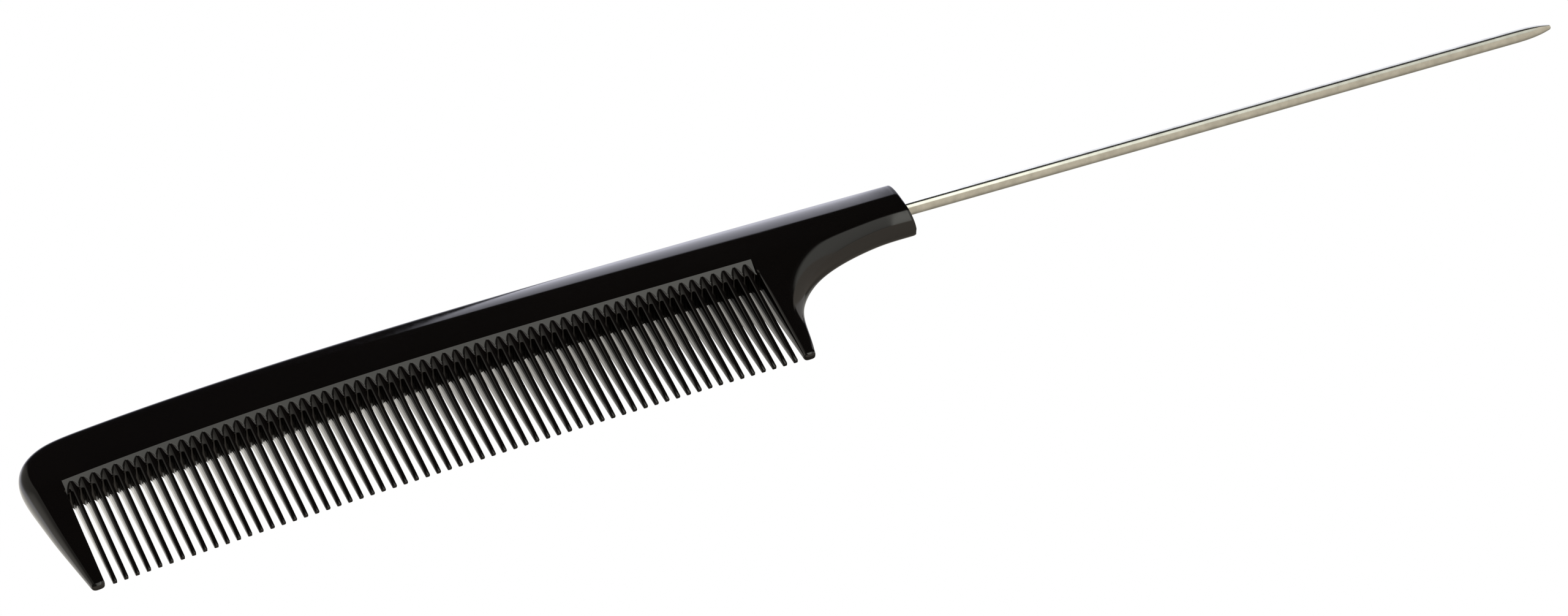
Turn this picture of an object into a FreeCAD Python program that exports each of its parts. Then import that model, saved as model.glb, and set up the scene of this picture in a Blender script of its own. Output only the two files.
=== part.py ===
import FreeCAD, Part
import math
import os
from FreeCAD import Vector

# Rat tail comb in two pieces:
#   comb_body  one moulding: back, 63 fine teeth, two guard teeth and a short handle
#   tail_pin   tail, its shank held in the handle, with grooves and two flats
# Drawn with X along the tooth row (tooth 0 at X = 0, handle at the +X end), Y from the
# teeth towards the back, and Z through the thickness with the mid-plane at Z = 0.
# Both pieces are moved at the end, so that the origin is the middle of the whole comb.
# "Half" in a name is a half-thickness, measured from the mid-plane.

# ---- driving dimensions (mm) ----------------------------------------------------
TEETH = 63                    # fine teeth between the two guard teeth
PITCH = 1.60                  # tooth spacing
TOOTH_W_ROOT = 0.72           # tooth width at the mid-plane, at the root
TOOTH_W_TIP = 0.60            # the same at the tip
TOOTH_HALF_TIP = 0.275        # half-thickness of a tooth at its tip
ROOF_ROOT = 0.28              # rise of the rounded tooth roof above its side wall, root
ROOF_TIP = 0.10               # the same at the tip
WALL_DRAFT = 0.02             # lean of each side wall from mid-plane to roof
APEX_GAP = 0.41               # tooth roofs leave the bevel this far in front of the face
TOOTH_OVERLAP = 0.55          # each tooth starts this far behind the front of the face

# half-thicknesses that vary along X: (value at X = 0, change per mm)
FACE_HALF = (2.40, 0.0030)    # front edge of the flat face
ROOT_HALF = (1.40, 0.0045)    # where the bevel ends, at the tooth roots
BACK_HALF = (1.75, 0.0035)    # back edge of the face
HANDLE_HALF = 2.40            # front edge of the face at the handle's end

X_GUARD_L = -1.20             # inner wall of the left guard tooth
X_GUARD_R = 100.42            # inner wall of the right guard tooth
X_HANDLE = 125.12             # end face of the handle

ENV_TIP_Y = -17.5             # front limit of the thickness envelope, past the guard tips
ENV_TIP_HALF = 0.33           # its half-thickness there
ENV_BACK_RUN = 2.0            # the envelope goes on this far behind the back edge
ENV_BACK_DROP = 0.35          # and thins by this much on the way
BLANK_HALF = 4.0              # half-height of the blank, and top of the bevel cutter

LAND = 0.12                   # half-height of the flat land left on rounded edges
ROUND_OUT = 0.7               # reach of the edge cutter outside the outline
ROUND_TOP = 3.6               # top of the edge cutter
ROUND_LIFT = 0.02             # its arc ends this far above the face
ROUND_OVERRUN = 0.8           # its path runs this far past the handle's end
BEVEL_OVERRUN = 0.6           # the bevel cutter runs this far past both its edges

PIN_R = 1.00                  # tail radius
PIN_TIP_X = 230.15            # X of the tail's point
PIN_Y110 = 5.70               # Y of the tail's axis at X = 110
PIN_SLOPE = -0.033            # slope of the tail's axis in plan
SHANK_L = 19.0                # length of tail held inside the handle
SHANK_CHAMFER = 0.15
TAPER_L = 5.4                 # length of the tapered point, to the apex of its round cap
CAP_R = 0.411                 # radius of that cap
CAP_ANGLES = (65.81, 40, 14)  # points on the cap, degrees off the axis: rim, middle, flat tip
TAPER = [(0.0, 1.0), (0.30, 0.955), (0.55, 0.83), (0.78, 0.62)]  # share of TAPER_L, of PIN_R
GROOVE_W, GROOVE_D, GROOVE_N = 0.9, 0.22, 3
GROOVE_WALL = 0.15            # run of each sloping groove wall
GROOVE_STEP = 6.4             # spacing of the grooves
GROOVE_INSET = 0.05           # outermost groove to the handle's end face
FLAT_L, FLAT_D = 4.0, 0.25    # flats above and below the inner end of the shank

# ---- plan outline: (x, y), anticlockwise; neighbouring runs share an end point ----
BACK_EDGE = [
    (X_HANDLE, 9.93), (119.92, 10.10), (112.37, 10.42), (104.85, 10.70), (97.38, 10.97),
    (89.93, 11.22), (82.5, 11.43), (75.12, 11.63), (67.76, 11.81), (60.46, 11.96),
    (53.18, 12.06), (45.93, 12.12), (38.69, 12.11), (31.47, 12.02), (24.29, 11.87),
    (17.11, 11.64), (9.93, 11.27), (4.6, 10.92), (2.0, 10.70)]
# left end and outer side of the left guard tooth
LEFT_END = [
    (2.0, 10.70), (0.45, 10.48), (-0.83, 10.21), (-1.95, 9.84), (-2.95, 9.36), (-3.9, 8.75),
    (-4.72, 8.03), (-5.40, 7.20), (-5.93, 6.25), (-6.28, 5.25), (-6.44, 4.30), (-6.45, 3.2),
    (-6.33, 1.7), (-5.81, -1.88), (-5.01, -6.67), (-4.36, -9.91), (-3.69, -13.21),
    (-3.25, -15.35)]
GUARD_L_TIP = [(-3.25, -15.35), (-2.85, -15.87), (-2.2, -15.93), (-1.72, -15.84),
               (-1.30, -15.25)]
GUARD_R_TIP = [(100.52, -14.95), (100.85, -15.40), (101.35, -15.47), (101.88, -15.42),
               (102.28, -14.95)]
# outer side of the right guard tooth and front edge of the handle
UNDERSIDE = [
    (102.28, -14.95), (102.72, -13.07), (103.04, -11.33), (103.31, -9.79), (103.66, -8.34),
    (104.17, -7.10), (104.90, -5.90), (105.82, -4.78), (107.0, -3.66), (108.71, -2.42),
    (111.0, -1.30), (113.26, -0.55), (115.43, -0.02), (117.52, 0.36), (119.53, 0.62),
    (121.55, 0.80), (124.30, 0.92)]
HANDLE_CORNER = [(124.30, 0.92), (124.88, 1.16), (X_HANDLE, 1.75)]

ROOT_STATIONS = (X_GUARD_L, 12, 25, 38, 50, 62, 75, 88, X_GUARD_R)       # X
BEVEL_STATIONS = (X_GUARD_L, 8, 20, 35, 50, 65, 80, 92, X_GUARD_R)       # X


def linear(coefficients, x):
    return coefficients[0] + coefficients[1] * x


# thickness envelope: x, front y of face, half there, back y of face, half there
ENVELOPE = [
    (-8, 2.0, linear(FACE_HALF, -8), 10.9, linear(BACK_HALF, -8)),
    (47, 3.2, linear(FACE_HALF, 47), 12.1, linear(BACK_HALF, 47)),
    (103, 2.6, linear(FACE_HALF, 103), 10.8, linear(BACK_HALF, 103)),
    (127, 2.6, HANDLE_HALF, 9.9, linear(BACK_HALF, 127))]


# ---- curves in plan -------------------------------------------------------------
def cubic(a, b, c, d):
    """Y along the tooth row, as a cubic in (x - 50) / 50."""
    def y_at(x):
        t = (x - 50.0) / 50.0
        return ((a * t + b) * t + c) * t + d
    return y_at


face_y = cubic(0.522, -1.475, -0.178, 3.784)     # front edge of the flat face
root_y = cubic(0.344, -1.207, -0.176, 1.555)     # end wall of the gaps
tip_y = cubic(0.084, -0.857, 0.119, -14.692)     # tooth tips


def spline_curve(points, **tangents):
    curve = Part.BSplineCurve()
    curve.interpolate([Vector(x, y, 0) for x, y in points], **tangents)
    return curve


def line(start, end):
    return Part.makeLine(Vector(*start, 0), Vector(*end, 0))


def polygon_yz(x, points):
    ring = [Vector(x, y, z) for y, z in points]
    return Part.makePolygon(ring + [ring[0]])


def mirror_z(shape):
    return shape.mirror(Vector(0, 0, 0), Vector(0, 0, 1))


def largest_solid(shape):
    return max(shape.Solids, key=lambda solid: solid.Volume)


# ---- blank ----------------------------------------------------------------------
def make_blank():
    root_line = [(x, root_y(x)) for x in ROOT_STATIONS]
    edges = [spline_curve(run).toShape() for run in (
        BACK_EDGE, LEFT_END, GUARD_L_TIP, root_line, GUARD_R_TIP, UNDERSIDE, HANDLE_CORNER)]
    edges.insert(3, line(GUARD_L_TIP[-1], root_line[0]))
    edges.insert(5, line(root_line[-1], GUARD_R_TIP[0]))
    edges.append(line(HANDLE_CORNER[-1], BACK_EDGE[0]))
    outline = Part.Wire(Part.__sortEdges__(edges))
    blank = Part.Face(outline).extrude(Vector(0, 0, 2 * BLANK_HALF))
    blank.translate(Vector(0, 0, -BLANK_HALF))
    return blank


# ---- thickness: thickest along the front edge of the face, thinner to the back, ----
# ---- and tapering down the guard teeth
def envelope_section(x, front_y, front_half, back_y, back_half):
    upper = [(ENV_TIP_Y, ENV_TIP_HALF), (front_y, front_half), (back_y, back_half),
             (back_y + ENV_BACK_RUN, back_half - ENV_BACK_DROP)]
    return polygon_yz(x, upper + [(y, -z) for y, z in reversed(upper)])


def envelope_half(x, y):
    """Half-thickness of the envelope at a point of the plan."""
    for near, far in zip(ENVELOPE, ENVELOPE[1:]):
        if x <= far[0]:
            break
    t = (x - near[0]) / (far[0] - near[0])
    front_y, front_half, back_y, back_half = [
        a + (b - a) * t for a, b in zip(near[1:], far[1:])]
    if y >= back_y:
        return back_half - ENV_BACK_DROP / ENV_BACK_RUN * (y - back_y)
    if y >= front_y:
        return front_half + (back_half - front_half) * (y - front_y) / (back_y - front_y)
    rise = front_half - ENV_TIP_HALF
    return ENV_TIP_HALF + rise * (y - ENV_TIP_Y) / (front_y - ENV_TIP_Y)


# ---- rounded edges --------------------------------------------------------------
def back_depth(x, y):
    """Inward reach of the rounding: grows along the back, shrinks down the left guard."""
    if y > 4:
        return 1.9 + 0.9 * max(0.0, min(1.0, x / 120.0))
    return max(0.62, 1.9 - (4 - y) * 0.064)


def under_depth(x, y):
    """Full reach along the handle, shrinking down the right guard tooth."""
    return max(0.55, min(2.7, 2.7 + (y + 0.5) * 0.145))


def round_section(x, y, outward, depth):
    """Cutter section: its inner side is an arc from the land up to the face."""
    half = envelope_half(x - outward.x * depth, y - outward.y * depth) + ROUND_LIFT

    def at(offset, z):
        return Vector(x + outward.x * offset, y + outward.y * offset, z)

    diagonal = 2 ** -0.5
    low = at(0, LAND)
    middle = at(-depth * (1 - diagonal), LAND + (half - LAND) * diagonal)
    high = at(-depth, half)
    corners = [high, at(-depth, ROUND_TOP), at(ROUND_OUT, ROUND_TOP), at(ROUND_OUT, LAND), low]
    return Part.Wire([Part.Arc(low, middle, high).toShape()]
                     + [Part.makeLine(a, b) for a, b in zip(corners, corners[1:])])


def round_cutter(path, depth_at):
    """Cutter for the upper edge; an anticlockwise path has its outside on the right."""
    curve = spline_curve(path)
    sections = []
    for x, y in path:
        along = curve.tangent(curve.parameter(Vector(x, y, 0)))[0]
        outward = Vector(along.y, -along.x, 0)
        outward.normalize()
        sections.append(round_section(x, y, outward, depth_at(x, y)))
    return Part.makeLoft(sections, True, False)


def round_edges(body):
    x_end = X_HANDLE + ROUND_OVERRUN
    back_path = [(x_end, 9.90)] + BACK_EDGE[1:-1:2] + LEFT_END[::2] + [(-3.02, -16.4)]
    under_path = [(102.05, -15.85)] + UNDERSIDE[1:-1] + [(123.6, 0.91), (x_end, 0.93)]
    for path, depth_at in ((back_path, back_depth), (under_path, under_depth)):
        cutter = round_cutter(path, depth_at)
        body = body.cut(cutter).cut(mirror_z(cutter))
    return largest_solid(body)


# ---- bevels at the tooth roots, above and below -----------------------------------
def bevel_slope(x):
    return (linear(FACE_HALF, x) - linear(ROOT_HALF, x)) / (face_y(x) - root_y(x))


def bevel_section(x):
    rise = BEVEL_OVERRUN * bevel_slope(x)
    y_back, y_front = face_y(x) + BEVEL_OVERRUN, root_y(x) - BEVEL_OVERRUN
    return polygon_yz(x, [(y_back, linear(FACE_HALF, x) + rise),
                          (y_front, linear(ROOT_HALF, x) - rise),
                          (y_front, BLANK_HALF), (y_back, BLANK_HALF)])


# ---- teeth ----------------------------------------------------------------------
def tooth_section(x, y, half_width, half, roof):
    side = half - roof
    roof_w = half_width - WALL_DRAFT
    left, right = Vector(x - half_width, y, 0), Vector(x + half_width, y, 0)

    def roof_arc(side_sign, z_sign):
        return Part.Arc(Vector(x + side_sign * roof_w, y, z_sign * side),
                        Vector(x, y, z_sign * half),
                        Vector(x - side_sign * roof_w, y, z_sign * side))

    top, bottom = roof_arc(-1, 1), roof_arc(1, -1)
    return Part.Wire([
        Part.makeLine(left, top.StartPoint if False else Vector(x - roof_w, y, side)),
        top.toShape(),
        Part.makeLine(Vector(x + roof_w, y, side), right),
        Part.makeLine(right, Vector(x + roof_w, y, -side)),
        bottom.toShape(),
        Part.makeLine(Vector(x - roof_w, y, -side), left)])


def make_tooth(index):
    """Tapers to the tip from inside the body, along the line of its roof."""
    x = PITCH * index
    y_apex = face_y(x) - APEX_GAP
    half_apex = linear(FACE_HALF, x) - bevel_slope(x) * APEX_GAP
    slope = (half_apex - TOOTH_HALF_TIP) / (y_apex - tip_y(x))
    y_start = face_y(x) + TOOTH_OVERLAP
    half_start = half_apex + slope * (y_start - y_apex)
    return Part.makeLoft([
        tooth_section(x, y_start, TOOTH_W_ROOT / 2, half_start, ROOF_ROOT),
        tooth_section(x, tip_y(x), TOOTH_W_TIP / 2, TOOTH_HALF_TIP, ROOF_TIP)], True, True)


def make_comb():
    envelope = Part.makeLoft([envelope_section(*row) for row in ENVELOPE], True, True)
    comb = round_edges(make_blank().common(envelope))
    top_bevel = Part.makeLoft([bevel_section(x) for x in BEVEL_STATIONS], True, False)
    comb = comb.cut(top_bevel).cut(mirror_z(top_bevel))
    comb = comb.multiFuse([make_tooth(i) for i in range(TEETH)])
    return comb.removeSplitter()


# ---- tail pin: turned about X from its inner end, then laid on its sloping axis ----
def make_pin():
    angle = math.atan(PIN_SLOPE)
    cosine = math.cos(angle)
    rim_angle, middle_angle, tip_angle = [math.radians(a) for a in CAP_ANGLES]
    length = SHANK_L + (PIN_TIP_X - X_HANDLE) / cosine
    apex = length + CAP_R * (1 - math.cos(tip_angle))     # of the cap, before its flat tip

    def cap_point(off_axis):
        return (apex - CAP_R * (1 - math.cos(off_axis)), CAP_R * math.sin(off_axis))

    rim, middle, tip = [cap_point(a) for a in (rim_angle, middle_angle, tip_angle)]
    taper_x = apex - TAPER_L

    straight = [(0, 0), (0, PIN_R - SHANK_CHAMFER), (SHANK_CHAMFER, PIN_R)]
    for i in range(GROOVE_N):
        x = SHANK_L - GROOVE_INSET - GROOVE_W - (GROOVE_N - 1 - i) * GROOVE_STEP
        straight += [(x, PIN_R), (x + GROOVE_WALL, PIN_R - GROOVE_D),
                     (x + GROOVE_W - GROOVE_WALL, PIN_R - GROOVE_D), (x + GROOVE_W, PIN_R)]
    straight.append((taper_x, PIN_R))

    taper = spline_curve(
        [(taper_x + along * TAPER_L, PIN_R * radius) for along, radius in TAPER] + [rim],
        InitialTangent=Vector(1, 0, 0),
        FinalTangent=Vector(math.sin(rim_angle), -math.cos(rim_angle), 0))
    cap = Part.Arc(*[Vector(x, y, 0) for x, y in (rim, middle, tip)])

    profile = [line(a, b) for a, b in zip(straight, straight[1:])]
    profile += [taper.toShape(), cap.toShape(), line(tip, (tip[0], 0)), line((tip[0], 0), (0, 0))]
    pin = Part.Face(Part.Wire(profile)).revolve(Vector(0, 0, 0), Vector(1, 0, 0), 360)
    for z in (PIN_R - FLAT_D, FLAT_D - 3 * PIN_R):
        pin = pin.cut(Part.makeBox(FLAT_L, 4 * PIN_R, 2 * PIN_R, Vector(0, -2 * PIN_R, z)))
    pin = pin.Solids[0]

    pin.rotate(Vector(0, 0, 0), Vector(0, 0, 1), math.degrees(angle))
    start_x = X_HANDLE - SHANK_L * cosine
    pin.translate(Vector(start_x, PIN_Y110 + PIN_SLOPE * (start_x - 110.0), 0))
    return pin


# ---- assembly and export ----------------------------------------------------------
pin = make_pin()
comb = largest_solid(make_comb().cut(pin))     # the moulding closes tightly round the shank

box = Part.makeCompound([comb, pin]).optimalBoundingBox(False)
to_middle = Vector(-(box.XMin + box.XMax) / 2, -(box.YMin + box.YMax) / 2,
                   -(box.ZMin + box.ZMax) / 2)

os.makedirs("parts", exist_ok=True)
for name, shape in (("comb_body", comb), ("tail_pin", pin)):
    shape.translate(to_middle)
    shape.exportStep("parts/%s.step" % name)
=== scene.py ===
import math
from contextlib import contextmanager

import bmesh
import bpy
import numpy as np
from mathutils import Matrix, Vector
from mathutils.geometry import delaunay_2d_cdt


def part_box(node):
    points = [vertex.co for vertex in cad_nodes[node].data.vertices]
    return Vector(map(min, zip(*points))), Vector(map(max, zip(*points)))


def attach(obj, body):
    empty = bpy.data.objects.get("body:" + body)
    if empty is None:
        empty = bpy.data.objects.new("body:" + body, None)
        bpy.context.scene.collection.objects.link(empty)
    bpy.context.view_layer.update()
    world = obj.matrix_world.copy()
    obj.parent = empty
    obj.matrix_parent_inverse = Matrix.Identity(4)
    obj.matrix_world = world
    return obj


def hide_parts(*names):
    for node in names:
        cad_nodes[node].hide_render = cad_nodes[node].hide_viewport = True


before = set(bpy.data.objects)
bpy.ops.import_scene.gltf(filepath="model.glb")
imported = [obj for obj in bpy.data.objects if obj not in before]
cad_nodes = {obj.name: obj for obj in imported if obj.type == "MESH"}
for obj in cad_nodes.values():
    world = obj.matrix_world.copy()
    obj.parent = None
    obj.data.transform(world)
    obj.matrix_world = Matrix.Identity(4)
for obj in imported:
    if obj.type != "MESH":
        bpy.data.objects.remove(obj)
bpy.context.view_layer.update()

# The CAD body's left end is X = -6.46256 and its back is Y = 12.1258.
box_min, box_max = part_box("comb_body")
ORIGIN = np.array([box_min.x * 1000.0 + 6.46256, box_max.y * 1000.0 - 12.1258, 0.0])

PITCH, TEETH = 1.6, 63
LEFT_X, RIGHT_X = -1.20, 100.42     # sides of the guard teeth that face the tooth row
END_X = 125.12                      # end face of the handle
END_CORNER_R = 0.10                 # its front corner, in plan
END_RIM = 0.26                      # its rounded rim
OVERRUN = 1.6                       # how far the outlines run on past the end face


def to_metres(p):
    """comb millimetres to scene metres"""
    return (np.asarray(p, float) + ORIGIN) * 0.001


def scene_x(x):
    return float(to_metres((x, 0, 0))[0])


def scene_y(y):
    return float(to_metres((0, y, 0))[1])


# ---- lines across the comb -------------------------------------------------------------
def cubic(a, b, c, d):
    def at(x):
        t = (np.asarray(x, float) - 50.0) / 50.0
        return ((a * t + b) * t + c) * t + d
    return at


face_y = cubic(0.522, -1.475, -0.178, 3.784)    # front edge of the face, where the bevel starts
root_y = cubic(0.344, -1.207, -0.176, 1.555)    # back ends of the slots
tip_y = cubic(0.084, -0.857, 0.119, -14.692)    # tips of the teeth


# half-thickness along the face's front edge, the slot ends and the back edge
def face_h(x): return 2.40 + 0.0030 * np.asarray(x, float)
def root_h(x): return 1.40 + 0.0045 * np.asarray(x, float)
def back_h(x): return 1.75 + 0.0035 * np.asarray(x, float)


# ---- outline: measured points (X, Y) ------------------------------------------------------
BACK_EDGE = np.array([
    (END_X, 9.93), (119.92, 10.10), (112.37, 10.42), (104.85, 10.70), (97.38, 10.97),
    (89.93, 11.22), (82.5, 11.43), (75.12, 11.63), (67.76, 11.81), (60.46, 11.96),
    (53.18, 12.06), (45.93, 12.12), (38.69, 12.11), (31.47, 12.02), (24.29, 11.87),
    (17.11, 11.64), (9.93, 11.27), (4.6, 10.92), (2.0, 10.70)])
LEFT_END = [    # round the left end and down the outer side of the left guard tooth
    (0.45, 10.48), (-0.83, 10.21), (-1.95, 9.84), (-2.95, 9.36), (-3.9, 8.75),
    (-4.72, 8.03), (-5.40, 7.20), (-5.93, 6.25), (-6.28, 5.25), (-6.44, 4.30), (-6.45, 3.2),
    (-6.33, 1.7), (-5.81, -1.88), (-5.01, -6.67), (-4.36, -9.91), (-3.69, -13.21),
    (-3.25, -15.35)]
LEFT_TIP = [
    (-3.25, -15.35), (-3.10, -15.70), (-2.80, -15.90), (-2.2, -15.93), (-1.72, -15.86),
    (-1.42, -15.66), (-1.30, -15.25)]
RIGHT_TIP = [
    (100.52, -14.95), (100.64, -15.28), (100.90, -15.43), (101.35, -15.47), (101.88, -15.44),
    (102.17, -15.28), (102.28, -14.95)]
FRONT_EDGE = [  # outer side of the right guard tooth and front edge of the handle
    (102.28, -14.95), (102.72, -13.07), (103.04, -11.33), (103.31, -9.79), (103.66, -8.34),
    (104.17, -7.10), (104.90, -5.90), (105.82, -4.78), (107.0, -3.66), (108.71, -2.42),
    (111.0, -1.30), (113.26, -0.55), (115.43, -0.02), (117.52, 0.36), (119.53, 0.62),
    (121.55, 0.72), (124.30, 0.63), (END_X + OVERRUN, 0.56)]
FINE = 0.05     # sampling of a curve before it is smoothed


def natural_spline(t, y):
    n = len(t)
    h = np.diff(t)
    system, rhs = np.zeros((n, n)), np.zeros(n)
    system[0, 0] = system[-1, -1] = 1.0
    for i in range(1, n - 1):
        system[i, i - 1:i + 2] = h[i - 1], 2 * (h[i - 1] + h[i]), h[i]
        rhs[i] = 6 * ((y[i + 1] - y[i]) / h[i] - (y[i] - y[i - 1]) / h[i - 1])
    m = np.linalg.solve(system, rhs)

    def at(q):
        i = np.clip(np.searchsorted(t, q, side="right") - 1, 0, n - 2)
        a = (t[i + 1] - q) / h[i]
        b = (q - t[i]) / h[i]
        bend = (a ** 3 - a) * m[i] + (b ** 3 - b) * m[i + 1]
        return a * y[i] + b * y[i + 1] + bend * h[i] ** 2 / 6
    return at


def arc_length(line):
    return np.concatenate([[0], np.cumsum(np.hypot(*np.diff(line, axis=0).T))])


def dense(points, step, smooth=0.0):
    """even samples along a smooth curve through points; smooth is a Gaussian width in mm"""
    p = np.array(points, float)
    t = arc_length(p)
    q = np.linspace(0, t[-1], max(int(t[-1] / FINE), 8))
    curve = np.stack([natural_spline(t, p[:, 0])(q), natural_spline(t, p[:, 1])(q)], 1)
    if smooth > 0:
        k = int(3 * smooth / FINE)
        g = np.exp(-0.5 * (np.arange(-k, k + 1) * FINE / smooth) ** 2)
        g /= g.sum()
        before = 2 * curve[0] - curve[k:0:-1]
        after = 2 * curve[-1] - curve[-2:-k - 2:-1]
        e = np.vstack([before, curve, after])
        curve = np.stack([np.convolve(e[:, i], g, "valid") for i in (0, 1)], 1)
    s = arc_length(curve)
    q = np.linspace(0, s[-1], max(int(round(s[-1] / step)), 1) + 1)
    return np.stack([np.interp(q, s, curve[:, 0]), np.interp(q, s, curve[:, 1])], 1)


BACK_POLY = np.polyfit((BACK_EDGE[:, 0] - 62) / 62.0, BACK_EDGE[:, 1], 5)


def back_y(x):
    return np.polyval(BACK_POLY, (np.asarray(x, float) - 62) / 62.0)


LEFT_END_X = 3.0    # where the back edge hands over to the left end
back_x = np.append(np.linspace(END_X + OVERRUN, LEFT_END_X, 210)[:-1:6], LEFT_END_X)
outer = dense(np.vstack([np.column_stack([back_x, back_y(back_x)]), LEFT_END]), 0.42, 0.55)[:-1]
left_tip = dense(LEFT_TIP, 0.12, 0.10)
left_inner = dense([LEFT_TIP[-1], (-1.24, -10.0), (LEFT_X, -5.0),
                    (LEFT_X, float(root_y(LEFT_X)))], 0.40)
right_inner = dense([(RIGHT_X, float(root_y(RIGHT_X))), (RIGHT_X, -5.0),
                     (RIGHT_X + 0.04, -10.0), RIGHT_TIP[0]], 0.40)
right_tip = dense(RIGHT_TIP, 0.12, 0.10)
front = dense(FRONT_EDGE, 0.42, 0.8)


# ---- rounding of the edges ----------------------------------------------------------------
def share(value, span):
    return min(max(value / span, 0.0), 1.0)


def rounding(p, part):
    """rounding depth, share of the height that stays vertical, roundness exponent"""
    x, y = p
    if part == "outer":
        if y > 3.5:
            f = share(x + 2, 118.0)
            return 1.9 + 2.3 * f ** 1.1, 0.03, 2.05 + 0.30 * f
        f = share(3.5 - y, 19.0)
        return 1.9 - 1.2 * f, 0.03 + 0.22 * f, 2.05
    if part == "left_tip":
        return 0.62, 0.27, 2.0
    if part == "right_tip":
        return 0.50, 0.34, 2.0
    if part == "inner":
        f = share(0.6 - y, 4.0)
        g = share(-y, 15.0)
        return 0.16 + 0.34 * f, 0.90 - 0.12 * f - 0.46 * g, 2.0
    f = share(y + 15.0, 14.5)       # front edge: grows from the guard tip to the handle
    return 0.62 + 3.5 * f ** 0.9, 0.30 - 0.27 * f ** 0.5, 2.05 + 0.25 * f


def blur(v, width=3):
    reach = 3 * width
    g = np.exp(-0.5 * (np.arange(-reach, reach + 1) / width) ** 2)
    g /= g.sum()
    e = np.concatenate([np.full(reach, v[0]), v, np.full(reach, v[-1])])
    return np.convolve(e, g, "valid")


def edge_line(*parts):
    """a polyline joined from named parts, and the rounding at each of its points"""
    params = np.array([rounding(p, name) for name, line in parts for p in line])
    for c in range(3):
        params[:, c] = blur(params[:, c])
    return np.vstack([line for _, line in parts]), params


# both run with the body on their left
EDGES = (edge_line(("outer", outer), ("left_tip", left_tip[:-1]), ("inner", left_inner)),
         edge_line(("inner", right_inner[:-1]), ("right_tip", right_tip[:-1]), ("front", front)))


def nearest(q, line, params):
    """distance of points q to a polyline, with its rounding at the nearest place"""
    best, found = np.full(len(q), 1e9), np.zeros((len(q), params.shape[1]))
    a = line[:-1]
    d = line[1:] - a
    length2 = (d * d).sum(1)
    chunk = 2000
    for s in range(0, len(q), chunk):
        m = q[s:s + chunk, None, :] - a[None]
        t = np.clip((m * d[None]).sum(2) / length2[None], 0, 1)
        w = m - t[..., None] * d[None]
        dist = np.hypot(w[..., 0], w[..., 1])
        k = dist.argmin(1)
        i = np.arange(len(k))
        best[s:s + chunk] = dist[i, k]
        along = t[i, k][:, None]
        found[s:s + chunk] = params[k] * (1 - along) + params[k + 1] * along
    return best, found


def edge_at(q):
    """distance to the nearest outline edge and the rounding there"""
    (dist_a, params_a), (dist_b, params_b) = (nearest(q, *edge) for edge in EDGES)
    first = dist_a < dist_b
    return np.where(first, dist_a, dist_b), np.where(first[:, None], params_a, params_b)


# ---- half-thickness of the body ---------------------------------------------------------------
LOW_X, HIGH_X = -8, 127             # the thickness stays constant outside these
TAPER_X, TAPER_H = 103.0, 2.40      # the handle thins from here to this value at HIGH_X
FACE_STATIONS = (-1, 8, 20, 35, 50, 65, 80, 92, 100)
GUARD_H, GUARD_Y = 0.35, 17.5       # the guard teeth thin to GUARD_H at Y = -GUARD_Y
BLEND = 0.035                       # softness of the crease between face and front slope


def env_h(x, y):
    """half-thickness before the edges are rounded"""
    y = np.asarray(y, float)
    cx = np.clip(np.asarray(x, float), LOW_X, HIGH_X)
    front_y = np.interp(cx, [LOW_X, *FACE_STATIONS, 104, HIGH_X],
                        [1.9, *face_y(FACE_STATIONS), 2.6, 2.6])
    rear_y = np.where(cx < 2, 10.7, back_y(np.maximum(cx, 2)))
    taper = (face_h(TAPER_X) - TAPER_H) * (cx - TAPER_X) / (HIGH_X - TAPER_X)
    front_h = face_h(np.minimum(cx, TAPER_X)) + np.where(cx > TAPER_X, -taper, 0)
    u = np.clip((y - front_y) / np.maximum(rear_y - front_y, 1), -0.2, 1.3)
    face = front_h + (back_h(cx) - front_h) * (0.72 * u + 0.28 * np.sign(u) * u * u)
    slope = GUARD_H + (front_h - GUARD_H) * (y + GUARD_Y) / (front_y + GUARD_Y)
    return np.minimum(face, slope) - BLEND * np.log1p(np.exp(-np.abs(face - slope) / BLEND))


# centre of the end face's rounded front corner, in plan
CORNER_X = END_X - END_CORNER_R
handle_front = front[front[:, 0] > 110]
CORNER_Y = float(np.interp(CORNER_X, handle_front[:, 0], handle_front[:, 1])) + END_CORNER_R


def end_distance(q):
    """distance inwards from the handle's end face"""
    x, y = q.T
    corner = (x > CORNER_X) & (y < CORNER_Y)
    return np.where(corner, END_CORNER_R - np.hypot(x - CORNER_X, y - CORNER_Y), END_X - x)


def profile_h(q):
    dist, params = edge_at(q)
    depth, upright, power = params.T
    u = np.clip(dist / depth, 0, 1)
    rounded = np.maximum(1 - (1 - u) ** power, 0) ** (1 / power)
    u = np.clip(end_distance(q) / END_RIM, 0, 1)
    end = 0.90 + 0.10 * np.sqrt(np.maximum(1 - (1 - u) ** 2, 0))
    return env_h(*q.T) * (upright + (1 - upright) * rounded) * end


def bevel_h(x, y):
    y1, y2 = face_y(x), root_y(x)
    z1 = env_h(x, y1)
    return z1 - (z1 - root_h(x)) * (y1 - y) / (y1 - y2)


# ---- teeth ------------------------------------------------------------------------------------
EDGE_GAP = 0.03                     # first and last slot end this far short of the guard teeth
HALF_W_ROOT, HALF_W_TIP = 0.264, 0.300
DROP_ROOT, DROP_TIP = 0.15, 0.07    # rise of the rounded roof above the tooth's side walls
RIDGE_START = 0.41                  # from the face's front edge to where the ridge rises
RIDGE_TIP_H = 0.275
TIP_ROUND = 0.10                    # length of the rounded tip
ROWS, STATIONS = 30, 15             # rows over the bevel, stations along a tooth
ARC, ROOF = 12, 12                  # segments round a slot's end and across a tooth
RIM_DROP = 0.03                     # the slot's rim is broken slightly

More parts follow.
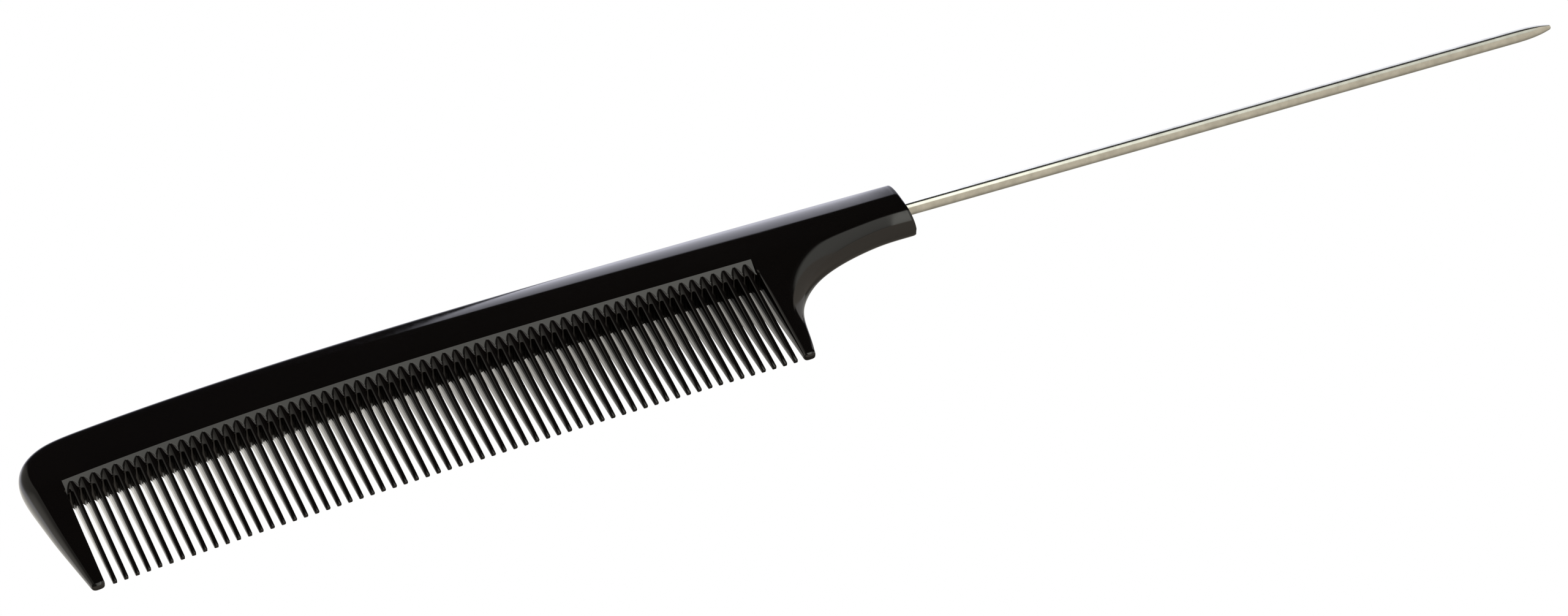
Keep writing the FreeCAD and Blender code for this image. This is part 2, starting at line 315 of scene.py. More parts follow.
# each tooth's ridge is a straight line that leaves the bevel at (ridge_y, ridge_z)
tooth_x = PITCH * np.arange(TEETH)
crest_y, crest_z = face_y(tooth_x), env_h(tooth_x, face_y(tooth_x))
bevel_slope = (crest_z - root_h(tooth_x)) / (crest_y - root_y(tooth_x))
ridge_y, ridge_z = crest_y - RIDGE_START, crest_z - bevel_slope * RIDGE_START
tooth_tip = tip_y(tooth_x)
ridge_slope = (ridge_z - RIDGE_TIP_H) / (ridge_y - tooth_tip)

HOLLOW = 2.8                        # reach of the hollow run-out beside a ridge
NARROW = 2.16                       # how steeply the ridge falls off sideways
CREST = 1 + (HOLLOW - 1) ** 2 / (4 * HOLLOW)


def bump(u, rise):
    """height of a tooth's root above the bevel: round on top, running out in a hollow"""
    a = 1 - NARROW * u * u / np.maximum(rise, 1e-6)
    g = np.maximum(a, 0) + np.maximum(HOLLOW - np.abs(a), 0) ** 2 / (4 * HOLLOW)
    return np.where(rise > 0, rise * g / CREST, 0.0)


def ridge_rise(tooth, y):
    """height of a tooth's ridge above the bevel"""
    return (bevel_slope[tooth] - ridge_slope[tooth]) * (ridge_y[tooth] - y)


def root_zone_h(x, y):
    """height between the front edge of the face and the ends of the slots"""
    middle = np.clip(np.round(x / PITCH).astype(int), 0, TEETH - 1)
    total = np.zeros_like(x)
    for offset in (-1, 0, 1):
        i = middle + offset
        tooth = np.clip(i, 0, TEETH - 1)
        total += np.where(i == tooth, bump(x - tooth * PITCH, ridge_rise(tooth, y)), 0)
    return bevel_h(x, y) + total


# Columns of vertices run forward from the face's front edge to the slot ends and the teeth:
# (x, y of the front end, tooth or None, place across the tooth -1..1).
slots = []      # centre, half-width
for s in range(TEETH + 1):
    left = LEFT_X + EDGE_GAP if s == 0 else PITCH * (s - 1) + HALF_W_ROOT
    right = RIGHT_X - EDGE_GAP if s == TEETH else PITCH * s - HALF_W_ROOT
    slots.append(((left + right) / 2, (right - left) / 2))
columns = []
for s, (centre, radius) in enumerate(slots):
    for j in range(ARC + 1):
        angle = math.pi * j / ARC
        tooth, across = None, 0.0
        if j == 0 and s > 0:
            tooth, across = s - 1, 1.0
        elif j == ARC and s < TEETH:
            tooth, across = s, -1.0
        columns.append((centre - radius * math.cos(angle),
                        float(root_y(centre)) - radius * (1 - math.sin(angle)), tooth, across))
    if s < TEETH:
        y_left = columns[-1][1]
        next_centre, next_radius = slots[s + 1]
        y_right = float(root_y(next_centre)) - next_radius
        for j in range(1, ROOF):
            across = -math.cos(math.pi * j / ROOF)
            columns.append((PITCH * s + HALF_W_ROOT * across,
                            y_left + (y_right - y_left) * (across + 1) / 2, s, across))
col_x, col_y = (np.array([c[i] for c in columns]) for i in (0, 1))
col_across = np.array([c[3] for c in columns])
slot_rim = np.array([c[2] is None for c in columns])
col_top = face_y(col_x)
# the last row but one lies close behind the slot rim
row_share = np.concatenate([np.linspace(0, 1, ROWS)[:-1], [1 - 0.035 / 2.4, 1.0]])

# ---- plan mesh of the back, the guard teeth and the handle: outline -----------------------------
points = []


def add_all(new):
    start = len(points)
    points.extend((float(x), float(y)) for x, y in new)
    return list(range(start, len(points)))


def side_column(x, column):
    """points beside the root zone, level with the rows of its outermost column"""
    y1, y2 = col_top[column], col_y[column]
    return add_all((x, y1 + (y2 - y1) * f) for f in row_share)


def corner_arc(radius):
    return [(CORNER_X + radius * math.cos(a), CORNER_Y + radius * math.sin(a))
            for a in np.radians(np.linspace(-90, 0, 4))]


SEAM = 0.05         # the inner sides stop this far short of the root zone
end_ys = np.linspace(CORNER_Y, float(back_y(END_X)), 34)
loop = add_all(outer[outer[:, 0] < END_X - 0.10]) + add_all(left_tip[:-1])
loop += add_all(left_inner[left_inner[:, 1] < col_y[0] - SEAM])
left_ids = side_column(LEFT_X, 0)
loop += left_ids[::-1]
face_ids = add_all(zip(col_x, col_top))
loop += face_ids
right_ids = side_column(RIGHT_X, -1)
loop += right_ids
loop += add_all(right_inner[right_inner[:, 1] < col_y[-1] - SEAM]) + add_all(right_tip[:-1])
loop += add_all(front[front[:, 0] < CORNER_X - 0.10]) + add_all(corner_arc(END_CORNER_R))
loop += add_all((END_X, y) for y in end_ys[1:])
constraints = list(zip(loop, loop[1:] + loop[:1]))
fixed = np.array(points)
outline = fixed[loop]


# ---- plan mesh: inner points -----------------------------------------------------------------
def front_zone(q, margin):
    x, y = q.T
    return (x > LEFT_X - margin) & (x < RIGHT_X + margin) & (y < face_y(x) + margin)


def free(q, gap):
    """drops points too close to the fixed ones"""
    keep = np.ones(len(q), bool)
    chunk = 1500
    for s in range(0, len(q), chunk):
        part = q[s:s + chunk, None]
        dist = np.hypot(part[..., 0] - fixed[None, :, 0], part[..., 1] - fixed[None, :, 1])
        keep[s:s + chunk] = dist.min(1) > gap[s:s + chunk]
    return q[keep]


def in_outline(q):
    x, y = q.T
    inside = np.zeros(len(q), bool)
    px, py = outline.T
    j = len(px) - 1
    for i in range(len(px)):
        reach = (px[j] - px[i]) * (y - py[i]) / (py[j] - py[i] + 1e-15) + px[i]
        inside ^= ((py[i] > y) != (py[j] > y)) & (x < reach)
        j = i
    return inside


def ring_points(rings=15):
    """rings that follow the outline across its rounding and a little beyond"""
    steps = [1 - math.cos(math.pi / 2 * k / rings) for k in range(1, rings + 1)] + [1.12, 1.3]
    found, gaps, wanted = [], [], []
    for line, params in EDGES:
        t = np.gradient(line, axis=0)
        t /= np.hypot(t[:, 0], t[:, 1])[:, None]
        normal = np.stack([-t[:, 1], t[:, 0]], 1)
        for f in steps:
            inset = params[:, 0] * f
            found.append(line + normal * inset[:, None])
            gaps.append((inset * 0.35).clip(0.012, 0.25))
            wanted.append(inset)
    q, gap = np.vstack(found), np.concatenate(gaps)
    ok = edge_at(q)[0] > np.concatenate(wanted) * 0.985 - 1e-4
    ok &= ~front_zone(q, 0.06) & (end_distance(q) > 0.30)
    return free(q[ok], gap[ok])


def end_points():
    """rows that follow the rim of the end face"""
    q = []
    for inset in (0.012, 0.04, 0.085, 0.14, 0.20, 0.27):
        q += [(END_X - inset, y) for y in end_ys[:-1]]
        if END_CORNER_R - inset > 0.02:
            q += corner_arc(END_CORNER_R - inset)[:-1]
    q = np.array(q)
    return q[edge_at(q)[0] > 0.012]


def field_points(step_x=0.95, step_y=0.8):
    """staggered grid over the rest, and a row just behind the face's front edge"""
    q = [(x + (step_x / 2 if j % 2 else 0), y)
         for j, y in enumerate(np.arange(-17, 13, step_y)) for x in np.arange(-7, END_X, step_x)]
    q += [(x, float(face_y(x)) + 0.30) for x in np.arange(LEFT_X + 0.3, RIGHT_X - 0.3, 0.45)]
    q = np.array(q)
    q = q[in_outline(q) & ~front_zone(q, 0.22) & (end_distance(q) > 0.6)]
    dist, params = edge_at(q)
    q = q[dist > params[:, 0] * 1.38]
    return free(q, np.full(len(q), 0.18))


for q in (ring_points(), end_points(), field_points()):
    add_all(q[in_outline(q)])

cdt = delaunay_2d_cdt([Vector(p) for p in points], constraints, [], 1, 1e-5, True)
flat = np.array([(v.x, v.y) for v in cdt[0]])
new_id = {i: k for k, sources in enumerate(cdt[3]) for i in sources}
triangles = [list(f) for f in cdt[2]]
centres = sum(flat[[f[i] for f in triangles]] for i in range(3)) / 3
triangles = [f for f, inside in zip(triangles, in_outline(centres)) if inside]
left_ids, face_ids, right_ids = ([new_id[i] for i in ids]
                                 for ids in (left_ids, face_ids, right_ids))

# ---- upper half of the moulding ------------------------------------------------------------------
blocks = []


def add_block(x, y, z):
    start = sum(len(b) for b in blocks)
    blocks.append(np.column_stack([x, y, z]))
    return start + np.arange(len(blocks[-1]))


def smooth_step(u):
    u = np.clip(u, 0, 1)
    return u * u * (3 - 2 * u)


# the front edge of the face keeps one height on both sides
plan_h = profile_h(flat)
plan_h[face_ids] = env_h(col_x, col_top)
plan_h[left_ids[0]] = env_h(LEFT_X, col_top[0])
plan_h[right_ids[0]] = env_h(RIGHT_X, col_top[-1])
add_block(flat[:, 0], flat[:, 1], plan_h)

# root zone
grid = np.zeros((len(columns), len(row_share)), int)
grid[:, 0] = face_ids
for k, f in enumerate(row_share[1:], 1):
    y = col_top - f * (col_top - col_y)
    z = root_zone_h(col_x, y)
    if k == len(row_share) - 1:
        z = np.where(slot_rim, z - RIM_DROP, z)
    grid[:, k] = add_block(col_x, y, z)


def quad(a, b, k):
    return a[k], a[k + 1], b[k + 1], b[k]


spans = range(len(row_share) - 1)
quads = [quad(a, b, k) for a, b in zip(grid[:-1], grid[1:]) for k in spans]
for k in spans:
    quads += [quad(left_ids, grid[0], k), quad(grid[-1], right_ids, k)]

# sections of a tooth: (share of the length, scale of the section, step past that place)
SECTIONS = [(f, 1.0, 0.0) for f in (np.linspace(0, 1, STATIONS) ** 1.25)[1:]]
SECTIONS += [(1.0, 0.95, 0.045), (1.0, 0.84, 0.08), (1.0, 0.62, TIP_ROUND)]
MERGE = 1.3         # length over which the bevel's bump turns into the tooth's own roof

for i in range(TEETH):
    members = [j for j, c in enumerate(columns) if c[2] == i]
    across, start_y = col_across[members], col_y[members]
    previous = grid[members, -1]
    for along, shrink, past in SECTIONS:
        y = start_y + (tooth_tip[i] + TIP_ROUND - start_y) * along - past
        f = (start_y - y) / (start_y - tooth_tip[i])
        half_w = (HALF_W_ROOT + (HALF_W_TIP - HALF_W_ROOT) * f) * shrink
        drop = (DROP_ROOT + (DROP_TIP - DROP_ROOT) * f) * shrink
        ridge = ridge_z[i] - ridge_slope[i] * (ridge_y[i] - y)
        if shrink != 1:
            ridge = ridge * (0.5 + 0.5 * shrink)
        roof = drop * (1 - np.sqrt(np.maximum(1 - across * across, 0)))
        own = smooth_step((start_y - y) / MERGE)
        rise = ridge_rise(i, y)
        z = ridge - own * roof - (1 - own) * (rise - bump(across * HALF_W_ROOT, rise))
        ids = add_block(tooth_x[i] + half_w * across, y, z)
        for a in range(len(members) - 1):
            quads.append((previous[a], ids[a], ids[a + 1], previous[a + 1]))
        previous = ids

upper = np.vstack(blocks)
# the end face leans out a little towards its front side
LEAN_X = 119.0
lean = smooth_step((upper[:, 0] - LEAN_X) / (END_X - LEAN_X))
upper[:, 0] += lean * (0.08 + 0.030 * (5.5 - upper[:, 1]))

# ---- mirrored half and side walls ------------------------------------------------------------------
count = len(upper)
faces, directed = [], set()
for f in triangles + quads:
    corners = upper[list(f)]
    area = sum(a[0] * b[1] - b[0] * a[1] for a, b in zip(corners, np.roll(corners, -1, axis=0)))
    f = tuple(int(v) for v in (f if area > 0 else f[::-1]))
    faces += [f, tuple(v + count for v in f[::-1])]
    for a, b in zip(f, f[1:] + f[:1]):
        directed.add((a, b))
rim = [(a, b) for a, b in directed if (b, a) not in directed]
outward = {}
for a, b in rim:
    dx, dy = upper[b, 0] - upper[a, 0], upper[b, 1] - upper[a, 1]
    for v in (a, b):
        direction = outward.setdefault(v, np.zeros(2))
        direction += np.array([dy, -dx]) / max(math.hypot(dx, dy), 1e-9)

# the halves meet in the mould's parting plane, where the slots are narrowest
FLASH = 0.042
middle_id, middle = {}, []
for v, (dx, dy) in sorted(outward.items()):
    x, y = upper[v, :2]
    in_slot = LEFT_X - 0.12 < x < RIGHT_X + 0.12 and -15.0 < y < float(face_y(x))
    flash, length = FLASH if in_slot else 0.0, max(np.hypot(dx, dy), 1e-9)
    middle_id[v] = 2 * count + len(middle)
    middle.append((x + flash * dx / length, y + flash * dy / length, 0.0))
for a, b in rim:
    faces.append((b, a, middle_id[a], middle_id[b]))
    faces.append((middle_id[b], middle_id[a], a + count, b + count))


@contextmanager
def editing(mesh):
    bm = bmesh.new()
    bm.from_mesh(mesh)
    yield bm
    bm.to_mesh(mesh)
    bm.free()


def new_object(name, verts, faces, merge=False):
    """object from comb millimetres; merge drops loose and doubled vertices"""
    mesh = bpy.data.meshes.new(name)
    mesh.from_pydata([tuple(p) for p in to_metres(verts)], [], faces)
    mesh.update()
    obj = bpy.data.objects.new(name, mesh)
    bpy.context.scene.collection.objects.link(obj)
    with editing(mesh) as bm:
        if merge:
            loose = [v for v in bm.verts if not v.link_faces]
            bmesh.ops.delete(bm, geom=loose, context="VERTS")
            bmesh.ops.remove_doubles(bm, verts=bm.verts, dist=1e-9)
        bmesh.ops.recalc_face_normals(bm, faces=bm.faces)
    return obj


body = new_object("comb_moulding", np.vstack([upper, upper * np.array([1, 1, -1.0]), middle]),
                  faces, merge=True)

# ---- steel tail: a lathed pin along an axis that leans slightly forward -------------------------------
PIN_R, PIN_SLOPE = 1.0, -0.033
PIN_TIP_X = 230.15
SHANK = 19.0                        # length inside the handle
GROOVES, GROOVE_PITCH, GROOVE_W, GROOVE_D, GROOVE_SIDE = 3, 6.4, 0.9, 0.22, 0.15
POINT_LEN = 5.9
# share of the point's length, radius
POINT = np.array([(0, 1.0), (0.30, 0.957), (0.55, 0.835), (0.78, 0.625), (0.955, 0.385)])
NOSE_R = 0.42                       # ball at the very tip
PIN_SEGMENTS, BORE_SEGMENTS = 72, 48
along_x = 1 / math.hypot(1, PIN_SLOPE)
pin_side = np.array([-PIN_SLOPE * along_x, along_x, 0.0])
PIN_LEN = (PIN_TIP_X - END_X) / along_x


def on_axis(s):
    """point on the tail's axis, s mm from the end face of the handle"""
    x = END_X + s * along_x
    return np.array([x, 5.70 + PIN_SLOPE * (x - 110.0), 0.0])


def circle(s, radius, segments):
    return [on_axis(s) + pin_side * (radius * math.cos(a)) + np.array([0, 0, radius * math.sin(a)])
            for a in (2 * math.pi * j / segments for j in range(segments))]


def pin_profile():
    """(distance along the axis, radius)"""
    profile = [(-SHANK, 0.0), (-SHANK, 0.85), (-SHANK + 0.15, PIN_R)]
    for i in reversed(range(GROOVES)):
        s = -0.05 - GROOVE_W - i * GROOVE_PITCH
        profile += [(s, PIN_R), (s + GROOVE_SIDE, PIN_R - GROOVE_D),
                    (s + GROOVE_W - GROOVE_SIDE, PIN_R - GROOVE_D), (s + GROOVE_W, PIN_R)]
    start = PIN_LEN - POINT_LEN
    profile += [(s, PIN_R) for s in np.linspace(0.2, start, 60)]
    taper = natural_spline(*POINT.T)
    last_share, last_r = POINT[-1]
    profile += [(start + POINT_LEN * u, float(taper(u))) for u in np.linspace(0.04, last_share, 22)]
    for a in np.linspace(math.asin(last_r / NOSE_R), math.radians(12), 9)[1:]:
        profile.append((PIN_LEN - NOSE_R + NOSE_R * math.cos(a), NOSE_R * math.sin(a)))
    return profile + [(PIN_LEN - 0.004, 0.0)]


def build_pin():
    verts, rows, faces = [], [], []
    for s, radius in pin_profile():
        new = circle(s, radius, PIN_SEGMENTS) if radius else [on_axis(s)]
        rows.append(range(len(verts), len(verts) + len(new)))
        verts += new
    for a, b in zip(rows[:-1], rows[1:]):
        for j in range(PIN_SEGMENTS):
            k = (j + 1) % PIN_SEGMENTS
            if len(a) == 1:
                faces.append((a[0], b[j], b[k]))
            elif len(b) == 1:
                faces.append((a[j], b[0], a[k]))
            else:
                faces.append((a[j], b[j], b[k], a[k]))
    return new_object("steel_tail", np.array(verts), faces)


def cut_bore(target, clearance=0.012):
    """bores the handle for the shank"""
    n = BORE_SEGMENTS
    verts = [p for s in (-SHANK - 0.02, 0.6) for p in circle(s, PIN_R + clearance, n)]
    sides = [(j, j + n, (j + 1) % n + n, (j + 1) % n) for j in range(n)]
    caps = [tuple(range(n)), tuple(range(2 * n - 1, n - 1, -1))]
    tool = new_object("bore_tmp", np.array(verts), sides + caps)
    modifier = target.modifiers.new("bore", "BOOLEAN")
    modifier.object = tool
    modifier.operation = "DIFFERENCE"
    modifier.solver = "EXACT"
    depsgraph = bpy.context.evaluated_depsgraph_get()
    mesh = bpy.data.meshes.new_from_object(target.evaluated_get(depsgraph))
    target.modifiers.clear()
    old, tool_mesh = target.data, tool.data
    target.data = mesh
    bpy.data.meshes.remove(old)
    bpy.data.objects.remove(tool)
    bpy.data.meshes.remove(tool_mesh)
    with editing(mesh) as bm:
        bmesh.ops.remove_doubles(bm, verts=bm.verts, dist=2e-7)
        bmesh.ops.dissolve_degenerate(bm, edges=bm.edges, dist=1e-7)
    mesh.name = "comb_moulding"


def shade_smooth(mesh, sharp_degrees):
    mesh.polygons.foreach_set("use_smooth", [True] * len(mesh.polygons))
    mesh.set_sharp_from_angle(angle=math.radians(sharp_degrees))
    mesh.update()


def sharpen_parting_line(mesh):
    """the parting line on the sides of the teeth stays crisp"""
    co = np.empty(3 * len(mesh.vertices))
    mesh.vertices.foreach_get("co", co)
    x, y, z = co.reshape(-1, 3).T
    ends = np.empty(2 * len(mesh.edges), int)
    mesh.edges.foreach_get("vertices", ends)
    sharp = np.empty(len(mesh.edges), bool)
    mesh.edges.foreach_get("use_edge_sharp", sharp)
    on_line = (np.abs(z) < 1e-8) & (x < scene_x(RIGHT_X + 0.1)) & (x > scene_x(LEFT_X - 0.1))
    on_line &= y < scene_y(3.0)
    sharp |= on_line[ends.reshape(-1, 2)].all(1)
    mesh.edges.foreach_set("use_edge_sharp", sharp)


pin = build_pin()
cut_bore(body)
shade_smooth(body.data, sharp_degrees=20)
shade_smooth(pin.data, sharp_degrees=30)
sharpen_parting_line(body.data)


# ---- node helper -----------------------------------------------------------------------------------
class Graph:
    """builds shader nodes; an input takes a plain value or a socket to link"""
    def __init__(self, owner):
        owner.use_nodes = True
        self.tree = owner.node_tree
        self.tree.nodes.clear()

    def node(self, kind, inputs=None, **settings):
        node = self.tree.nodes.new("ShaderNode" + kind)
        for key, value in settings.items():
            setattr(node, key, value)
        for key, value in (inputs or {}).items():
            socket = node.inputs[key]
            if isinstance(value, bpy.types.NodeSocket):
                self.tree.links.new(value, socket)
            else:
                socket.default_value = (*value, 1) if socket.type == "RGBA" else value
        return node

    def math(self, operation, *values):
        return self.node("Math", dict(enumerate(values)), operation=operation).outputs[0]

    def mul(self, first, *others):
        for other in others:
            first = self.math("MULTIPLY", first, other)
        return first

    def inv(self, value):
        return self.math("SUBTRACT", 1.0, value)

    def remap(self, value, span, to, kind="SMOOTHSTEP"):
        inputs = {"Value": value, "From Min": span[0], "From Max": span[1],
                  "To Min": to[0], "To Max": to[1]}
        return self.node("MapRange", inputs, interpolation_type=kind).outputs["Result"]

    def rise(self, value, at, soft):
        """0 to 1 around at, over a width of soft"""
        return self.remap(value, span=(at - soft / 2, at + soft / 2), to=(0.0, 1.0))

    def fall(self, value, at, soft):
        return self.inv(self.rise(value, at, soft))

    def split(self, vector):
        return self.node("SeparateXYZ", {0: vector}).outputs

    def ramp(self, factor, stops):
        node = self.node("ValToRGB", {"Fac": factor})
        elements = node.color_ramp.elements
        elements.remove(elements[-1])
        elements[0].position = stops[0][0]
        elements[0].color = (*stops[0][1], 1)
        for position, colour in stops[1:]:
            elements.new(position).color = (*colour, 1)
        return node.outputs["Color"]

    def mix(self, factor, a, b):
        """colours a to b; sockets 6, 7 and output 2 are the colour ones"""
        return self.node("Mix", {0: factor, 6: a, 7: b}, data_type="RGBA").outputs[2]

    def scale(self, colour, factor):
        inputs = {0: colour, "Scale": factor}
        return self.node("VectorMath", inputs, operation="SCALE").outputs[0]

    def noise(self, vector, scale, detail):
        inputs = {"Vector": vector, "Scale": scale, "Detail": detail}
        return self.node("TexNoise", inputs).outputs["Fac"]

    def bump(self, height, strength, distance):
        inputs = {"Height": height, "Strength": strength, "Distance": distance}
        return self.node("Bump", inputs).outputs["Normal"]

    def shader(self, kind, **inputs):
        return self.node(kind, inputs).outputs[0]

    def mix_shader(self, factor, a, b):
        return self.node("MixShader", {0: factor, 1: a, 2: b}).outputs[0]


def grey(value):
    return (value,) * 3


# ---- materials ---------------------------------------------------------------------------------------
def wall_ior_painted_light(g):
    """IOR: on the teeth's side walls it is raised and lowered by place to paint light. The strip along the
    lower edge reflects more, a painted reflection; the rest reflects less, painted shade, with fine lines
    across it that reflect less still, painted streaks"""
    geometry = g.node("NewGeometry")
    x, y, z = g.split(geometry.outputs["Position"])
    normal_x = g.split(geometry.outputs["True Normal"])[0]
    wall = g.mul(g.rise(g.math("ABSOLUTE", normal_x), at=0.93, soft=0.05),
                 g.rise(x, at=scene_x(LEFT_X) + 0.0001, soft=0.0001),
                 g.fall(x, at=scene_x(RIGHT_X) - 0.0001, soft=0.0001),
                 g.fall(y, at=scene_y(1.2), soft=0.001))
    wall_h = g.remap(y, span=(scene_y(-14.7), scene_y(1.0)), to=(0.00030, 0.00160), kind="LINEAR")
    level = g.math("DIVIDE", z, wall_h)     # height as a share of the wall's
    # painted light on the side walls: below about -0.40 of the wall's height they reflect more (painted
    # reflection), above about -0.36 less (painted shade)
    low = g.fall(level, at=-0.40, soft=0.06)
    high = g.rise(level, at=-0.36, soft=0.06)

    # a thin band where the wall reflects less still: a painted streak of shade
    def painted_streak(at, width=0.05):
        return g.mul(g.rise(level, at - width, width), g.fall(level, at + width, width))

    lines = painted_streak(-0.30, width=0.04)
    for at in (-0.12, 0.08, 0.42, 0.80):
        lines = g.math("ADD", lines, painted_streak(at))
    # the IOR rises on the lower strip (painted reflection), falls on the rest (painted shade) and falls
    # further on the streaks (painted streaks)
    base_ior, painted_highlight_gain, painted_shade_drop, painted_streak_drop = 1.50, 1.5, 0.22, 0.13
    drop = g.mul(high, g.math("ADD", painted_shade_drop, g.mul(lines, painted_streak_drop)))
    painted_highlight = g.mul(low, painted_highlight_gain)
    return g.math("ADD", base_ior, g.mul(wall, g.math("SUBTRACT", painted_highlight, drop)))


def black_plastic():
    material = bpy.data.materials.new("black_moulded_plastic")
    g = Graph(material)
    place = g.node("TexCoord").outputs["Object"]
    flow = g.noise(place, scale=55, detail=2)
    scuff = g.noise(place, scale=900, detail=4)
    surface = g.node("BsdfPrincipled", {
        "Roughness": g.ramp(scuff, [(0.3, grey(0.04)), (0.75, grey(0.075))]),
        "Base Color": g.ramp(flow, [(0.3, (0.0018, 0.0012, 0.0009)),
                                    (0.7, (0.0026, 0.0018, 0.0015))]),
        # the IOR paints reflection and shade onto the teeth's side walls
        "IOR": wall_ior_painted_light(g),
        "Normal": g.bump(flow, strength=0.05, distance=0.0002)})
    g.node("OutputMaterial", {"Surface": surface.outputs["BSDF"]})
    return material


def satin_steel():
    material = bpy.data.materials.new("satin_steel")
    g = Graph(material)
    place = g.node("TexCoord").outputs["Object"]
    # stretched along the tail, for a drawn finish
    mapping = g.node("Mapping", {"Vector": place, "Scale": (60, 900, 900)})
    grain = g.noise(mapping.outputs["Vector"], scale=1.0, detail=5)
    cloud = g.noise(place, scale=700, detail=3)
    surface = g.node("BsdfPrincipled", {
        "Metallic": 1.0,
        "Base Color": g.ramp(cloud, [(0.3, (0.51, 0.512, 0.46)), (0.7, (0.635, 0.64, 0.58))]),
        "Roughness": g.ramp(grain, [(0.3, grey(0.13)), (0.7, grey(0.20))]),
        "Normal": g.bump(grain, strength=0.10, distance=0.00005)})
    g.node("OutputMaterial", {"Surface": surface.outputs["BSDF"]})
    return material


plastic, steel = black_plastic(), satin_steel()
for owner, material in ((body, plastic), (pin, steel), (cad_nodes["comb_body"], plastic),
                        (cad_nodes["tail_pin"], steel)):
    owner.data.materials.clear()
    owner.data.materials.append(material)

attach(body, "root")
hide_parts("comb_body")
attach(pin, "root")
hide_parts("tail_pin")

# ---- studio light as a smooth function of direction -----------------------------------------------------
# Sweeps: (beta, brightness). beta turns about the comb's length: 0 back horizon, 90 overhead,
# 180 front horizon, below 0 and above 180 towards the floor.
ABOVE = [(66, .035), (69, .10), (71, 1.0), (73.5, 2.3), (90, 2.3), (108, 2.15), (114, 2.0),
         (118.5, 1.85), (122, .85), (125, .72), (180, .68), (210, .57), (228, .43), (270, .25)]
RIGHT_SWEEP = [(-90, .25), (-60, 1.0), (-45, 1.2), (-30, 1.4), (-24, 1.7), (-18, 2.05),
               (-12, 2.55), (-6, 3.0), (0, 3.3), (12, 3.2), (24, 2.85), (33, 2.4), (36, 2.2),
               (38, .035)] + ABOVE
LEFT_SWEEP = [(-90, .25), (-60, 1.0), (-45, 1.15), (-30, 1.1), (-24, .9), (-18, .5),
              (-12, .25), (-6, .10), (0, .035)] + ABOVE
# tint up to and including a beta
TINTS = [(-36, (1.03, 1.0, 0.93)), (37, (0.96, 0.965, 1.10)), (69, (1.0, 1.0, 1.0)),
         (119, (1.03, 1.025, 0.95)), (270, (1.118, 1.0, 0.854))]
RAMP_GAIN = 4.0     # the ramps hold colours divided by this
WHITE = (1, 1, 1)


def studio(g, vector, sign):
    """colour of the light that arrives from a direction"""
    x, y, z = (g.mul(part, sign) for part in g.split(vector))
    degrees = 180 / math.pi
    raw = g.mul(g.math("ARCTAN2", z, y), degrees)
    beta = g.math("ADD", raw, g.mul(g.math("LESS_THAN", raw, -90.0), 360.0))
    azimuth = g.mul(g.math("ARCTAN2", x, y), degrees)      # 0 straight back, growing to the right
    turn = g.remap(beta, span=(-90.0, 270.0), to=(0.0, 1.0), kind="LINEAR")

    def sweep(table):
        stops = []
        for b, level in table:
            tint = next(colour for limit, colour in TINTS if b <= limit)
            stops.append(((b + 90) / 360.0, tuple(level * c / RAMP_GAIN for c in tint)))
        return g.scale(g.ramp(turn, stops), RAMP_GAIN)

    def dim(colour, *amounts):
        return g.scale(colour, g.inv(g.mul(*amounts)))

    def overhead():
        return g.rise(beta, at=68, soft=3), g.fall(beta, at=122, soft=4)

    right, left = sweep(RIGHT_SWEEP), sweep(LEFT_SWEEP)
    slant = g.math("ADD", x, g.mul(beta, 0.00064))     # the border leans slightly with beta
    border = g.mul(g.rise(slant, at=0.257, soft=0.006), g.fall(azimuth, at=51, soft=5))
    light = g.mix(border, left, right)
    # the panel overhead is dimmer towards its left end
    light = dim(light, *overhead(), g.remap(x, span=(0.04, 0.30), to=(0.95, 0.0)))
    # both panels are dimmer beyond the handle, where only the tail sees them
    beyond = (0.333, 0.343)
    light = dim(light, *overhead(), g.remap(x, span=beyond, to=(0.0, 0.60)))
    light = dim(light, g.fall(beta, at=37, soft=3), g.rise(beta, at=-20, soft=12),
                g.remap(x, span=beyond, to=(0.0, 0.58)))
    # right-hand end of the studio: a warm wall above, a bright one low down
    high = g.rise(beta, at=63, soft=5)
    side = g.math("ADD", g.mul(high, g.rise(x, at=0.60, soft=0.06)),
                  g.mul(g.inv(high), g.rise(azimuth, at=63.5, soft=2)))
    side = g.mul(side, g.rise(beta, at=-30, soft=20), g.fall(beta, at=121.5, soft=6))
    bright, warm = (1.3, 1.25, 1.2), (0.84, 0.76, 0.66)
    light = g.mix(side, light, g.mix(g.rise(beta, at=63, soft=7), bright, warm))
    # left-hand end: a glow that grows towards the side
    glow = g.mul(g.fall(azimuth, at=-14, soft=10), g.fall(beta, at=66, soft=8),
                 g.rise(beta, at=-56, soft=20), g.remap(azimuth, span=(-76, -48), to=(1.25, 0.36)))
    glow_tint = (1.04, 1.0, 0.90)
    glow = g.node("CombineColor", {i: g.mul(glow, c) for i, c in enumerate(glow_tint)}).outputs[0]
    return g.node("VectorMath", {0: light, 1: glow}, operation="ADD").outputs[0]


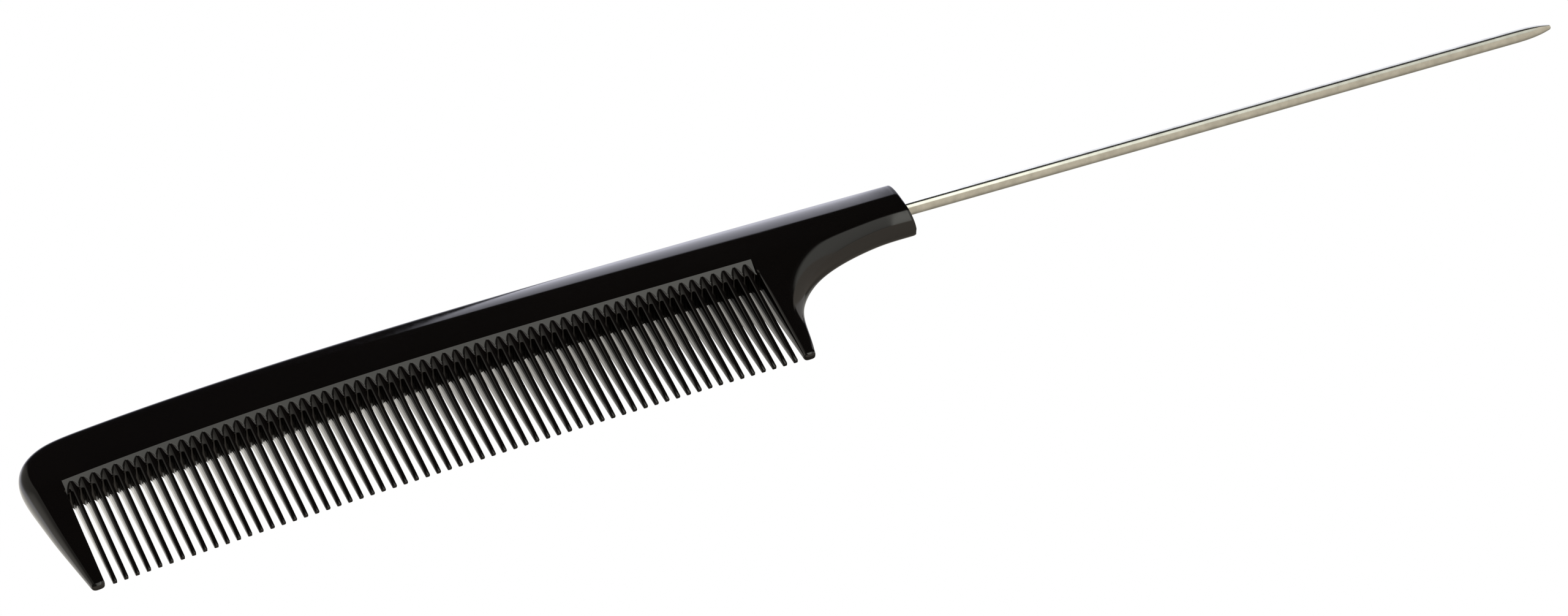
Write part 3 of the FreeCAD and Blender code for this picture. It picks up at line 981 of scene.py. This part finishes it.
def build_floor():
    """white to the camera; reflections see the studio in it"""
    bpy.ops.mesh.primitive_plane_add(size=8.0, location=(0, 0, box_min.z))
    floor = bpy.context.object
    floor.name = "floor"
    material = bpy.data.materials.new("floor_white")
    g = Graph(material)
    geometry = g.node("NewGeometry")
    light = studio(g, geometry.outputs["Incoming"], sign=-1.0)
    x, y, _ = g.split(geometry.outputs["Position"])
    # painted shadow: to reflections, the strip of floor under the teeth gets less light towards the handle
    # and the front
    shade = g.mul(g.remap(x, span=(-0.112, -0.012), to=(1.06, 0.52), kind="LINEAR"),
                  g.remap(y, span=(-0.013, -0.004), to=(0.78, 1.0)))
    strip = g.mul(g.rise(x, at=-0.1145, soft=0.002), g.fall(x, at=0.0, soft=0.01),
                  g.rise(y, at=-0.024, soft=0.006), g.fall(y, at=0.010, soft=0.004))
    light = g.scale(light, g.math("ADD", g.mul(strip, shade), g.inv(strip)))
    surface = g.mix_shader(g.node("LightPath").outputs["Is Camera Ray"],
                           g.shader("Emission", Color=light),
                           g.shader("Emission", Color=WHITE, Strength=1.0))
    g.node("OutputMaterial", {"Surface": surface})
    floor.data.materials.append(material)


def build_world():
    """the studio to reflections, plain white to diffuse rays and to the camera"""
    world = bpy.data.worlds.new("studio")
    bpy.context.scene.world = world
    g = Graph(world)
    sky = studio(g, g.node("TexCoord").outputs["Generated"], sign=1.0)
    ray = g.node("LightPath").outputs
    surface = g.mix_shader(ray["Is Diffuse Ray"], g.shader("Background", Color=sky),
                           g.shader("Background", Color=WHITE, Strength=0.9))
    surface = g.mix_shader(ray["Is Camera Ray"], surface,
                           g.shader("Background", Color=WHITE, Strength=1.02))
    g.node("OutputWorld", {"Surface": surface})


# ---- camera: its position in comb millimetres and its axes ----------------------------------------------
CAM_PLACE = (-109.4254, -431.6007, 508.5153)
CAM_RIGHT = (0.9085424, -0.4168384, 0.0282212)
CAM_DOWN = (-0.2871401, -0.6720626, -0.6825558)
CAM_FORWARD = (0.3034819, 0.6120275, -0.7302884)


def build_camera():
    data = bpy.data.cameras.new("cam")
    camera = bpy.data.objects.new("cam", data)
    bpy.context.scene.collection.objects.link(camera)
    place = to_metres(CAM_PLACE)
    matrix = Matrix.Identity(4)
    for i in range(3):
        matrix[i] = (CAM_RIGHT[i], -CAM_DOWN[i], -CAM_FORWARD[i], place[i])
    camera.matrix_world = matrix
    data.sensor_fit = "HORIZONTAL"
    data.sensor_width = 36.0
    data.lens = 114.622453
    data.clip_start = 0.01
    data.clip_end = 50
    bpy.context.scene.camera = camera


build_floor()
build_world()
build_camera()
view = bpy.context.scene.view_settings
view.view_transform = "Standard"
view.look = "None"
view.exposure = 0
view.gamma = 1
